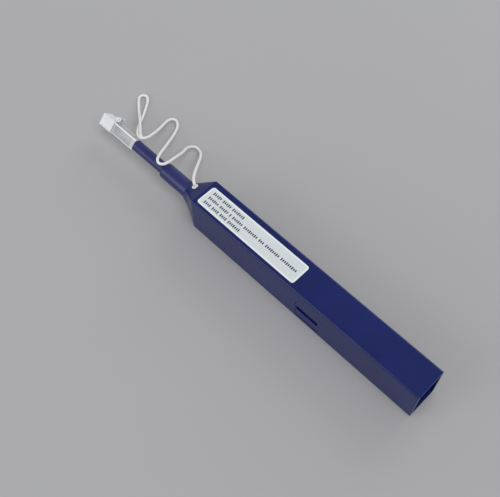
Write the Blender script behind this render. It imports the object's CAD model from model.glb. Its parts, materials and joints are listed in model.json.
# A push-to-click cleaning pen for fibre connectors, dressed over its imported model.
# The label, the strap with its knots and the return spring are made here. Every other
# piece keeps its own mesh and only gets a finish. All lengths are in metres.
import json
import math

import bmesh
import bpy
from mathutils import Matrix, Vector


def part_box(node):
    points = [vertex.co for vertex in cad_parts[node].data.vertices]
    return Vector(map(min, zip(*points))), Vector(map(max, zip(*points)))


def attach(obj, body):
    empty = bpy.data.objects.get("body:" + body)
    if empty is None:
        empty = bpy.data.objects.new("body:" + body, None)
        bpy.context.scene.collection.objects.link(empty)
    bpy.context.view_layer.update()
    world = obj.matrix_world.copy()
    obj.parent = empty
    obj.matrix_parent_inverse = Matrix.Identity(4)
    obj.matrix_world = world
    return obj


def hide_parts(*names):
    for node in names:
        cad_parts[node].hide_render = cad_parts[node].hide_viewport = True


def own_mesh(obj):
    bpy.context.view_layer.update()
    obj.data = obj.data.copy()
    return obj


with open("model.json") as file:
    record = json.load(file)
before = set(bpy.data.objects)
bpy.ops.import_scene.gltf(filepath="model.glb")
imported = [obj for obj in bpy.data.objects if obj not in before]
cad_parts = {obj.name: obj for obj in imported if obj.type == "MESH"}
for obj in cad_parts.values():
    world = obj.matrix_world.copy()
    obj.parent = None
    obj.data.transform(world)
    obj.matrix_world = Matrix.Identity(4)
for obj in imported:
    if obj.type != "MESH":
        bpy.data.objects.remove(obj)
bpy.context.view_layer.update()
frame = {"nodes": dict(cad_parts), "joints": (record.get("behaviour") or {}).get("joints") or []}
MM = 0.001

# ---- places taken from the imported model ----
CASE_LOW = Vector(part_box("outer_case")[0])
LABEL_LOW, LABEL_HIGH = (Vector(corner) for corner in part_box("label_sticker"))
CASE_TOP = LABEL_LOW.z
CASE_MIDDLE_Z = (CASE_LOW.z + CASE_TOP) / 2
CAP_LOW = Vector(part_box("guide_cap")[0])
CAP_SIDE = 6.3 * MM
CAP_BACK_X = CAP_LOW.x + 18.0 * MM
SHOULDER_LENGTH = 12.0 * MM
COLLAR_RADIUS = 5.25 * MM

# ---- camera ----
CAMERA_PLACE = Vector((0.1474, -0.1442, 0.3584))
CAMERA_AIM = Vector((0.0083, -0.0076, 0.025))
CAMERA_ROLL = math.radians(-0.5)
CAMERA_LENS = 55.5


def add_camera():
    bpy.ops.object.camera_add(location=CAMERA_PLACE)
    camera = bpy.context.object
    camera.name = "studio_camera"
    facing = (CAMERA_AIM - CAMERA_PLACE).to_track_quat("-Z", "Y").to_matrix()
    camera.rotation_euler = (facing @ Matrix.Rotation(CAMERA_ROLL, 3, "Z")).to_euler()
    camera.data.lens = CAMERA_LENS
    camera.data.sensor_width = 36
    camera.data.clip_start = 0.01
    bpy.context.scene.camera = camera


# ---- strap: a limp braided cord, lying where it fell ----
STRAP_THICKNESS = 1.6 * MM
STRAP_ROUTE = [
    (-41.5, 0.6, 21.3), (-44.7, 2.2, 21.4), (-49.2, 7.3, 18.5), (-53.2, 12.0, 14.9),
    (-57.2, 16.8, 10.8), (-61.1, 21.7, 7.2), (-65.4, 25.8, 3.2), (-68.6, 27.8, 1.2),
    (-71.6, 28.4, 0.9), (-74.0, 27.3, 1.0), (-74.7, 24.6, 2.1), (-73.3, 21.4, 4.8),
    (-70.3, 16.6, 8.5), (-67.7, 11.4, 13.1), (-65.1, 6.0, 17.5), (-63.7, 1.6, 20.0),
    (-64.3, -1.6, 20.4), (-66.6, -3.1, 20.5), (-69.2, -1.9, 20.4), (-71.2, 1.0, 19.5),
    (-74.0, 5.5, 16.8), (-77.5, 10.9, 13.0), (-81.0, 16.2, 9.6), (-84.5, 21.4, 5.8),
    (-88.2, 26.9, 2.7), (-91.2, 31.0, 1.2), (-93.6, 33.0, 0.9), (-96.2, 33.6, 0.9),
    (-98.1, 31.9, 1.2), (-98.0, 29.3, 2.2), (-96.5, 26.3, 4.1), (-93.9, 21.9, 7.0),
    (-91.2, 16.6, 10.2), (-88.9, 11.5, 13.5), (-86.9, 5.9, 16.5), (-89.2, 3.2, 16.5),
]
LOOP_ROUTE = [
    (-90.7, 3.5, 15.3), (-93.0, 4.0, 15.0), (-95.6, 5.6, 13.6), (-98.6, 8.1, 11.7),
    (-102.2, 11.4, 9.1), (-106.3, 16.4, 6.4), (-110.3, 21.5, 3.9), (-114.7, 26.8, 2.1),
    (-118.3, 31.1, 1.1), (-120.4, 33.0, 0.9), (-122.6, 33.7, 0.9), (-124.5, 32.4, 0.9),
    (-124.7, 30.0, 0.9), (-122.9, 27.9, 1.2), (-119.2, 25.0, 2.4), (-114.3, 21.3, 4.4),
    (-109.0, 17.5, 6.8), (-103.7, 13.8, 9.7), (-98.4, 9.9, 12.0), (-93.7, 6.2, 14.8),
    (-90.9, 4.7, 16.8),
]


def smooth_line(name, route):
    """A NURBS curve with the route's points as its control points."""
    line = bpy.data.curves.new(name, "CURVE")
    line.dimensions = "3D"
    line.resolution_u = 12
    spline = line.splines.new("NURBS")
    spline.points.add(len(route) - 1)
    for point, place in zip(spline.points, route):
        point.co = (*(Vector(place) * MM), 1.0)
    spline.order_u = 3
    spline.use_endpoint_u = True
    return line


def points_along(name, route):
    """The points that the route's smooth line passes through, in order."""
    line = bpy.data.objects.new(name, smooth_line(name, route))
    bpy.context.scene.collection.objects.link(line)
    run = bpy.data.meshes.new_from_object(line)
    points = [vertex.co.copy() for vertex in run.vertices]
    bpy.data.objects.remove(line)
    bpy.data.meshes.remove(run)
    return points


def frames_along(points):
    """For each point a direction and two crosswise directions that never twist."""
    across = None
    for index, point in enumerate(points):
        before = points[max(index - 1, 0)]
        after = points[min(index + 1, len(points) - 1)]
        along = (after - before).normalized()
        if across is None:
            across = along.orthogonal().normalized()
        across = (across - along * across.dot(along)).normalized()
        yield point, across, along.cross(across)


def braided_tube(name, points, radius, sides=12):
    """A tube on the points, with UVs in cord radii along it and turns round it."""
    mesh = bpy.data.meshes.new(name)
    piece = bpy.data.objects.new(name, mesh)
    bpy.context.scene.collection.objects.link(piece)
    shape = bmesh.new()
    lay = shape.loops.layers.uv.new("cord")
    sections, run = [], [0.0]
    for point, across, up in frames_along(points):
        section = []
        for side in range(sides):
            turn = 2 * math.pi * side / sides
            outward = across * math.cos(turn) + up * math.sin(turn)
            section.append(shape.verts.new(point + outward * radius))
        sections.append(section)
    for first, second in zip(points, points[1:]):
        run.append(run[-1] + (second - first).length / radius)
    for row, (section, following) in enumerate(zip(sections, sections[1:])):
        for side in range(sides):
            beside = (side + 1) % sides
            face = shape.faces.new((section[side], section[beside], following[beside], following[side]))
            face.smooth = True
            corners = ((row, side), (row, side + 1), (row + 1, side + 1), (row + 1, side))
            for loop, (step, turn) in zip(face.loops, corners):
                loop[lay].uv = (run[step], turn / sides)
    shape.faces.new(reversed(sections[0]))
    shape.faces.new(sections[-1])
    bmesh.ops.recalc_face_normals(shape, faces=shape.faces[:])
    shape.to_mesh(mesh)
    shape.free()
    return piece


def length_of(points):
    return sum((after - before).length for before, after in zip(points, points[1:]))


# ---- finishes ----
def paint(red, green, blue):
    """A colour as a painter reads it, 0 to 255, for a shader."""
    def linear(value):
        share = value / 255
        return share / 12.92 if share <= 0.04045 else ((share + 0.055) / 1.055) ** 2.4
    return (linear(red), linear(green), linear(blue), 1.0)


class Wire:
    """A socket in a finish, so that sums on it read like ordinary ones."""

    def __init__(self, finish, socket):
        self.finish = finish
        self.socket = socket

    def sum(self, operation, first, second):
        return self.finish.node("ShaderNodeMath", {"operation": operation}, {0: first, 1: second})

    def __add__(self, other):
        return self.sum("ADD", self, other)

    def __radd__(self, other):
        return self.sum("ADD", other, self)

    def __sub__(self, other):
        return self.sum("SUBTRACT", self, other)

    def __rsub__(self, other):
        return self.sum("SUBTRACT", other, self)

    def __mul__(self, other):
        return self.sum("MULTIPLY", self, other)

    def __rmul__(self, other):
        return self.sum("MULTIPLY", other, self)

    def __abs__(self):
        return self.finish.node("ShaderNodeMath", {"operation": "ABSOLUTE"}, {0: self})

    def above(self, level, softness):
        """0 below the level and 1 above it, with a soft step between."""
        return self.finish.node("ShaderNodeMapRange", {"interpolation_type": "SMOOTHSTEP"}, {
            "Value": self, "From Min": level - softness, "From Max": level + softness})


class Finish:
    """One procedural material on a Principled shader."""

    def __init__(self, name, **constants):
        self.material = bpy.data.materials.new(name)
        self.material.use_nodes = True
        self.tree = self.material.node_tree
        self.tree.nodes.clear()
        self.output = self.tree.nodes.new("ShaderNodeOutputMaterial")
        self.shader = self.tree.nodes.new("ShaderNodeBsdfPrincipled")
        self.tree.links.new(self.shader.outputs[0], self.output.inputs["Surface"])
        for socket, value in constants.items():
            self.set(socket.replace("_", " "), value)

    def set(self, socket, value):
        """Gives one socket of the shader a value or a link."""
        self.feed(self.shader.inputs[socket], value)

    def feed(self, socket, value):
        if isinstance(value, Wire):
            self.tree.links.new(value.socket, socket)
        else:
            socket.default_value = value

    def node(self, kind, settings=None, values=None, out=0):
        """Any node: its settings first, then its sockets' values or links."""
        made = self.tree.nodes.new(kind)
        for name, setting in (settings or {}).items():
            setattr(made, name, setting)
        for key, value in (values or {}).items():
            socket = made.inputs[key] if isinstance(key, int) else self.named(made.inputs, key)
            self.feed(socket, value)
        socket = made.outputs[out] if isinstance(out, int) else self.named(made.outputs, out)
        return Wire(self, socket)

    @staticmethod
    def named(sockets, key):
        for socket in sockets:
            if key in (socket.identifier, socket.name):
                return socket
        raise KeyError(key)

    def place(self):
        """Where a point lies on the object, in metres."""
        return self.node("ShaderNodeTexCoord", out="Object")

    def axes(self, vector):
        return [self.node("ShaderNodeSeparateXYZ", values={0: vector}, out=axis) for axis in range(3)]

    def stretched(self, vector, scale):
        return self.node("ShaderNodeVectorMath", {"operation": "MULTIPLY"}, {0: vector, 1: scale})

    def noise(self, scale, vector=None, detail=2.0):
        return self.node("ShaderNodeTexNoise", values={
            "Vector": vector or self.place(), "Scale": scale, "Detail": detail}, out="Fac")

    def blend(self, share, first, second):
        """A colour between two others."""
        return self.node("ShaderNodeMix", {"data_type": "RGBA"}, {
            "Factor_Float": share, "A_Color": first, "B_Color": second}, out="Result_Color")

    def greater(self, first, second):
        return self.node("ShaderNodeMath", {"operation": "MAXIMUM"}, {0: first, 1: second})

    def bump(self, height, distance, strength=1.0):
        self.set("Normal", self.node("ShaderNodeBump", values={
            "Height": height, "Distance": distance, "Strength": strength}))


def moulded(name, colour, shade, roughness, grain=1300.0, relief=0.0015 * MM, **constants):
    """Moulded plastic: two near shades, a fine skin and faint handling marks."""
    finish = Finish(name, **constants)
    spot = finish.place()
    cloud = finish.noise(60.0, spot)
    finish.set("Base Color", finish.blend(cloud.above(0.5, 0.25), colour, shade))
    rubbed = finish.noise(700.0, finish.stretched(spot, (0.12, 1.0, 1.0)), detail=4.0)
    finish.set("Roughness", roughness + (rubbed - 0.5) * 0.1)
    finish.bump(finish.noise(grain, spot, detail=3.0), relief)
    return finish.material


def case_plastic():
    return moulded("deep_blue_case_plastic", paint(8, 25, 88), paint(11, 29, 96), 0.26,
                   Specular_IOR_Level=0.4)


def nozzle_plastic():
    return moulded("deep_blue_nozzle_plastic", paint(27, 33, 94), paint(33, 39, 102), 0.36,
                   Specular_IOR_Level=0.6)


CAP_EDGE_WIDTH = 0.6 * MM
CAP_FRONT_RIM = 0.5 * MM
CAP_BACK_RIM = 1.6 * MM


def clear_plastic():
    """Thin clear walls that turn white along the cap's edges and end rims."""
    finish = Finish("clear_cap_plastic", IOR=1.49, Specular_IOR_Level=0.22)
    spot = finish.place()
    x, y, z = finish.axes(spot)
    across = (y + (z - CASE_MIDDLE_Z)) * math.sqrt(0.5)
    upward = ((z - CASE_MIDDLE_Z) - y) * math.sqrt(0.5)
    near_edge = CAP_SIDE / 2 - CAP_EDGE_WIDTH
    edge = abs(across).above(near_edge, 0.1 * MM) * abs(upward).above(near_edge, 0.1 * MM)
    front = (CAP_LOW.x + CAP_FRONT_RIM - x).above(0.0, 0.15 * MM)
    back = (x - CAP_BACK_X + CAP_BACK_RIM).above(0.0, 0.15 * MM) * 0.45
    rim = finish.greater(finish.greater(edge, front), back)
    cloud = finish.noise(220.0, spot)
    finish.set("Base Color", finish.blend(rim, paint(206, 209, 212), paint(246, 248, 249)))
    finish.set("Roughness", 0.28 + cloud * 0.1)
    finish.set("Alpha", 0.3 + rim * 0.62 + cloud * 0.05)
    finish.bump(finish.noise(900.0, spot), 0.002 * MM)
    return finish.material


def milky_plastic():
    finish = Finish("milky_dust_cap_plastic", IOR=1.5, Transmission_Weight=0.08,
                    Subsurface_Weight=0.2, Subsurface_Scale=0.0015)
    spot = finish.place()
    cloud = finish.noise(160.0, spot)
    finish.set("Base Color", finish.blend(cloud, paint(228, 230, 233), paint(238, 240, 242)))
    finish.set("Roughness", 0.34 + finish.noise(600.0, spot) * 0.1)
    finish.bump(finish.noise(1500.0, spot), 0.005 * MM)
    return finish.material


LABEL_MARGIN = 1.0 * MM


def label_film():
    """Pale film with a lighter margin round the printed field."""
    finish = Finish("pale_label_film")
    spot = finish.place()
    x, y, _ = finish.axes(spot)
    middle = (LABEL_LOW + LABEL_HIGH) / 2
    half = (LABEL_HIGH - LABEL_LOW) / 2
    beyond_x = abs(x - middle.x).above(half.x - LABEL_MARGIN, 0.12 * MM)
    beyond_y = abs(y - middle.y).above(half.y - LABEL_MARGIN, 0.12 * MM)
    border = finish.greater(beyond_x, beyond_y)
    fibres = finish.noise(900.0, finish.stretched(spot, (0.4, 1.0, 1.0)), detail=5.0)
    field = finish.blend(fibres, paint(204, 212, 215), paint(215, 222, 225))
    finish.set("Base Color", finish.blend(border, field, paint(230, 235, 236)))
    finish.set("Roughness", 0.42 + fibres * 0.14)
    finish.bump(fibres, 0.008 * MM)
    return finish.material


def label_ink():
    finish = Finish("dark_print")
    spot = finish.place()
    speckle = finish.noise(1600.0, spot)
    finish.set("Base Color", finish.blend(speckle, paint(38, 42, 62), paint(58, 62, 84)))
    finish.set("Roughness", 0.5 + finish.noise(2500.0, spot) * 0.2)
    return finish.material


BRAID_STRANDS = 6.0


def braid():
    """Two sets of strands that cross, as a bump and a shade on the cord's own UVs."""
    finish = Finish("white_braided_cord", Sheen_Weight=0.35, Sheen_Roughness=0.5)
    lay = finish.node("ShaderNodeUVMap", {"uv_map": "cord"})
    along, turn, _ = finish.axes(lay)

    def wave(direction):
        phase = (along * 0.9 + turn * BRAID_STRANDS * direction) * (2 * math.pi)
        return finish.node("ShaderNodeMath", {"operation": "SINE"}, {0: phase}) * 0.5 + 0.5

    first, second = wave(1.0), wave(-1.0)
    height = finish.greater(first, second)
    fuzz = finish.noise(4000.0)
    raised = height.above(0.55, 0.4)
    finish.set("Base Color", finish.blend(raised, paint(206, 208, 212), paint(247, 247, 246)))
    finish.set("Roughness", 0.66 + fuzz * 0.2)
    finish.bump(height + fuzz * 0.25, 0.12 * MM, 0.8)
    return finish.material


THREAD_PITCH = 0.4 * MM


def wound_thread():
    """White cleaning thread, wound in close turns across its reel."""
    finish = Finish("white_wound_thread", Sheen_Weight=0.3)
    spot = finish.place()
    _, y, _ = finish.axes(spot)
    phase = y * (2 * math.pi / THREAD_PITCH)
    turns = finish.node("ShaderNodeMath", {"operation": "SINE"}, {0: phase})
    shade = turns * 0.5 + 0.5
    finish.set("Base Color", finish.blend(shade, paint(196, 198, 200), paint(240, 240, 236)))
    finish.set("Roughness", 0.7 + finish.noise(3000.0, spot) * 0.15)
    finish.bump(shade, 0.08 * MM)
    return finish.material


def metal(name, colour, shade, roughness, drawn):
    """Bright metal with fine lines, drawn out along its length."""
    finish = Finish(name, Metallic=1.0)
    spot = finish.place()
    lines = finish.noise(3000.0, finish.stretched(spot, drawn), detail=4.0)
    finish.set("Base Color", finish.blend(lines, colour, shade))
    finish.set("Roughness", roughness + lines * 0.15)
    finish.bump(lines, 0.004 * MM)
    return finish.material


FINISHES = {
    "case_blue": case_plastic(),
    "nozzle_blue": nozzle_plastic(),
    "label_white": label_film(),
    "cord_white": braid(),
    "cap_clear": clear_plastic(),
    "cap_white": milky_plastic(),
    "frame_white": moulded("white_frame_plastic", paint(216, 217, 214), paint(226, 226, 222), 0.4),
    "reel_black": moulded("black_reel_plastic", paint(24, 25, 28), paint(31, 32, 36), 0.36),
    "gear_natural": moulded("natural_gear_plastic", paint(222, 216, 198), paint(232, 226, 210), 0.38),
    "thread_white": wound_thread(),
    "steel": metal("turned_steel", paint(186, 188, 192), paint(206, 208, 212), 0.22, (1.0, 0.15, 1.0)),
    "spring_steel": metal("spring_wire", paint(168, 170, 174), paint(192, 194, 198), 0.26, (0.2, 1.0, 1.0)),
}


# ---- making tools ----
def clear_selection():
    for item in bpy.context.selected_objects:
        item.select_set(False)


def block(low, high):
    """A box between two corners, with its place in its mesh."""
    clear_selection()
    low, high = Vector(low), Vector(high)
    bpy.ops.mesh.primitive_cube_add(size=1, location=(low + high) / 2, scale=high - low)
    bpy.ops.object.transform_apply()
    return bpy.context.object


def ring(centre, normal, ring_radius, cord_radius):
    """A ring of cord, with the cord's own UVs and its place in its mesh."""
    clear_selection()
    turn = Vector(normal).to_track_quat("Z", "Y").to_euler()
    bpy.ops.mesh.primitive_torus_add(location=centre, rotation=turn, major_segments=48, minor_segments=14,
                                     major_radius=ring_radius, minor_radius=cord_radius)
    bpy.ops.object.transform_apply()
    piece = bpy.context.object
    bpy.ops.object.shade_smooth()
    lay = piece.data.uv_layers[0]
    lay.name = "cord"
    for corner in lay.data:
        corner.uv.x *= 2 * math.pi * ring_radius / cord_radius
    return piece


def pick(piece, kind, wanted):
    """Goes into edit mode with only the wanted corners, edges or faces selected."""
    bpy.ops.object.mode_set(mode="EDIT")
    bpy.ops.mesh.select_mode(type=kind)
    bpy.ops.mesh.select_all(action="DESELECT")
    shape = bmesh.from_edit_mesh(piece.data)
    for part in {"VERT": shape.verts, "EDGE": shape.edges, "FACE": shape.faces}[kind]:
        part.select_set(wanted(part))
    bmesh.update_edit_mesh(piece.data)


def round_edges(piece, wanted, width, segments):
    pick(piece, "EDGE", wanted)
    bpy.ops.mesh.bevel(offset=width, segments=segments, affect="EDGES")
    bpy.ops.object.mode_set(mode="OBJECT")


def upright(edge):
    return abs(edge.verts[0].co.z - edge.verts[1].co.z) > 1e-7


def joined(pieces):
    """One object from several, each with its place in its mesh."""
    clear_selection()
    for piece in pieces:
        piece.select_set(True)
    bpy.context.view_layer.objects.active = pieces[0]
    bpy.ops.object.join()
    return bpy.context.object


def finished(piece, name, body, slot_name, material=None):
    """Names a piece, gives it its finish and lets it move with its body."""
    piece.name = piece.data.name = name
    piece.data.materials.clear()
    piece.data.materials.append(material or FINISHES[slot_name])
    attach(piece, body)
    return piece


def dress_kept_nodes():
    """Finishes on the pieces that keep their own meshes."""
    for node in frame["nodes"].values():
        for place in node.material_slots:
            place.material = FINISHES[place.material.name.split(".")[0]]


# ---- label ----
LABEL_CORNER = 1.5 * MM
LABEL_WORN_EDGE = 0.05 * MM
MARK_HEIGHT = 1.4 * MM
MARK_WIDTH = 0.74 * MM
MARK_PITCH = 1.2 * MM
WORD_GAP = 1.08 * MM
MARK_RELIEF = 0.02 * MM
# for each printed line: its place across the label from the far edge, and its groups of marks
PRINTED_LINES = [
    (0.23, (5, 5, 7)),
    (0.51, (6, 5, 1, 6, 8, 3, 8, 9)),
    (0.78, (4, 4, 4, 7)),
]


def add_label():
    """Film with rounded corners and a worn soft edge, stuck on the case."""
    film = block(LABEL_LOW, LABEL_HIGH)
    round_edges(film, upright, LABEL_CORNER, 8)
    top = LABEL_HIGH.z - 0.01 * MM

    def round_the_top(edge):
        lies_on_top = min(corner.co.z for corner in edge.verts) > top
        meets_a_side = any(face.normal.z < 0.5 for face in edge.link_faces)
        return lies_on_top and edge.is_manifold and meets_a_side

    round_edges(film, round_the_top, LABEL_WORN_EDGE, 3)
    finished(film, "label_film", "case", "label_white")
    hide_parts("label_sticker")


def add_marks():
    """Rows of short plain bars where a label carries its print."""
    top = LABEL_HIGH.z
    size = LABEL_HIGH - LABEL_LOW
    corner = Vector((LABEL_LOW.x + 0.045 * size.x, LABEL_HIGH.y, top))
    half_height = MARK_HEIGHT / 2
    pattern = block((0, -half_height, -MARK_RELIEF), (MARK_WIDTH, half_height, MARK_RELIEF))
    round_edges(pattern, upright, MARK_WIDTH * 0.3, 3)
    marks = []
    for share, groups in PRINTED_LINES:
        place = corner - Vector((0, share * size.y, 0))
        for group in groups:
            for number in range(group):
                mark = bpy.data.objects.new("mark", pattern.data.copy())
                bpy.context.scene.collection.objects.link(mark)
                stretch = Matrix.Diagonal((1, 1.0 if number % 3 else 1.3, 1, 1))
                mark.data.transform(Matrix.Translation(place) @ stretch)
                marks.append(mark)
                place = place + Vector((MARK_PITCH, 0, 0))
            place = place + Vector((WORD_GAP, 0, 0))
    bpy.data.objects.remove(pattern)
    finished(joined(marks), "label_marks", "case", "reel_black", label_ink())


# ---- strap ----
def middle_of(node):
    low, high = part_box(node)
    return (Vector(low) + Vector(high)) / 2


def add_anchor():
    """Two-lobed turn of cord where the strap is tied to the shoulder."""
    centre = middle_of("anchor_knot")
    slope = math.atan2(CASE_TOP - CASE_MIDDLE_Z - COLLAR_RADIUS, SHOULDER_LENGTH)
    normal = Vector((-math.sin(slope), 0, math.cos(slope)))
    anchor = ring(centre, normal, 1.2 * MM, 0.58 * MM)
    pick(anchor, "VERT", lambda corner: abs((corner.co - centre).y) < 0.55 * MM)
    bpy.ops.transform.resize(value=(0.9, 1.0, 1.0), center_override=centre)
    bpy.ops.object.mode_set(mode="OBJECT")
    finished(anchor, "strap_anchor", "case", "cord_white")
    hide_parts("anchor_knot")


def add_neck():
    """Knot of two crossed turns that closes the wrist loop."""
    centre = middle_of("neck_knot")
    lie = Vector((-0.4, 1.0, 0.7))
    around = ring(centre, lie, 0.75 * MM, 0.6 * MM)
    over = ring(centre, lie.cross(Vector((0, 0, 1))), 0.85 * MM, 0.6 * MM)
    neck = finished(joined([around, over]), "strap_neck", "case", "cord_white")
    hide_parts("neck_knot")
    return neck


def add_cords():
    add_anchor()
    neck = add_neck()
    cords = (("wrist_strap", STRAP_ROUTE, "strap_cord"), ("wrist_loop", LOOP_ROUTE, "strap_loop"))
    for name, route, node in cords:
        points = points_along(name + "_line", route)
        tube = braided_tube(name, points, STRAP_THICKNESS / 2)
        finished(tube, name, "case", "cord_white")
        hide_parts(node)
        tuple(points[0])
        length_of(points)


# ---- return spring ----
SPRING_WIRE_RADIUS = 0.4 * MM
SPRING_TURNS = 7
SPRING_STEPS = 28


def add_spring():
    """Coil between the frame's web and the rack bar's post, pressed as the frame slides in."""
    low, high = (Vector(corner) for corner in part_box("return_spring"))
    middle = (low + high) / 2
    radius = (high.z - low.z) / 2 - SPRING_WIRE_RADIUS
    rise = (high.x - low.x - 2 * SPRING_WIRE_RADIUS) / SPRING_TURNS
    clear_selection()
    bpy.ops.mesh.primitive_circle_add(vertices=12, radius=SPRING_WIRE_RADIUS,
                                      fill_type="NOTHING")
    spring = bpy.context.object
    pick(spring, "VERT", lambda corner: True)
    bpy.ops.transform.translate(value=(0, radius, 0))
    bpy.ops.object.mode_set(mode="OBJECT")
    coil = spring.modifiers.new("coil", "SCREW")
    coil.axis = "X"
    coil.iterations = SPRING_TURNS
    coil.screw_offset = rise
    coil.steps = SPRING_STEPS
    coil.render_steps = SPRING_STEPS
    bpy.ops.object.modifier_apply(modifier="coil")
    pick(spring, "VERT", lambda corner: True)
    bpy.ops.mesh.fill_holes(sides=0)
    bpy.ops.mesh.normals_make_consistent(inside=False)
    bpy.ops.object.mode_set(mode="OBJECT")
    coiled = [corner.co.x for corner in spring.data.vertices]
    spring.location = (middle.x - (min(coiled) + max(coiled)) / 2, middle.y, middle.z)
    bpy.ops.object.transform_apply()
    bpy.ops.object.shade_smooth()
    finished(spring, "coil_spring", "inner_unit", "spring_steel")
    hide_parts("return_spring")
    stroke = next(joint for joint in frame["joints"] if joint["name"] == "push_stroke")
    pressed = 1 - max(stroke["range_m"]) / (high.x - low.x)
    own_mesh(spring)


# ---- studio ----
ROOM_LIGHT = 0.42
BACKDROP_LEVEL = 0.38
SUN_STRENGTH = 1.2
SUN_SPREAD = math.radians(40)
LAMP_SIZE = 0.7
FLOOR_SIZE = 12


def soft_box(name, place, power):
    bpy.ops.object.light_add(type="AREA", location=place)
    lamp = bpy.context.object
    lamp.name = name
    lamp.data.size = LAMP_SIZE
    lamp.data.energy = power
    lamp.rotation_euler = (-lamp.location).to_track_quat("-Z", "Y").to_euler()


def light_the_room():
    """Even light all round, a broad sun from above and two soft boxes.

    What is seen directly, mirrored or through clear plastic takes the backdrop's level.
    """
    world = bpy.context.scene.world or bpy.data.worlds.new("studio")
    bpy.context.scene.world = world
    world.use_nodes = True
    tree = world.node_tree
    rays = tree.nodes.new("ShaderNodeLightPath")
    seen = rays.outputs["Is Camera Ray"]
    for kind in ("Is Glossy Ray", "Is Transmission Ray"):
        either = tree.nodes.new("ShaderNodeMath")
        either.operation = "MAXIMUM"
        tree.links.new(seen, either.inputs[0])
        tree.links.new(rays.outputs[kind], either.inputs[1])
        seen = either.outputs[0]
    level = tree.nodes.new("ShaderNodeMapRange")
    level.inputs["To Min"].default_value = ROOM_LIGHT
    level.inputs["To Max"].default_value = BACKDROP_LEVEL
    tree.links.new(seen, level.inputs["Value"])
    tree.nodes["Background"].inputs["Color"].default_value = (1.0, 1.0, 1.0, 1.0)
    tree.links.new(level.outputs["Result"], tree.nodes["Background"].inputs["Strength"])

    bpy.ops.object.light_add(type="SUN", location=(0.5, -0.15, 1.0))
    above = bpy.context.object
    above.name = "broad_light"
    above.data.energy = SUN_STRENGTH
    above.data.angle = SUN_SPREAD
    above.rotation_euler = (-above.location).to_track_quat("-Z", "Y").to_euler()
    soft_box("back_light", (-0.1, 1.0, 0.55), 3.0)
    soft_box("front_light", (-0.35, -1.0, 0.5), 3.6)


def add_studio():
    bpy.ops.mesh.primitive_plane_add(size=FLOOR_SIZE, location=(0, 0, 0))
    floor = bpy.context.object
    floor.name = "studio_floor"
    finish = Finish("grey_card", Roughness=0.9)
    cloud = finish.noise(8.0)
    finish.set("Base Color", finish.blend(cloud, paint(170, 170, 173), paint(173, 173, 175)))
    floor.data.materials.append(finish.material)

    light_the_room()

    bpy.context.scene.view_settings.view_transform = "Standard"


add_camera()
add_cords()
add_label()
add_marks()
add_spring()
dress_kept_nodes()
add_studio()
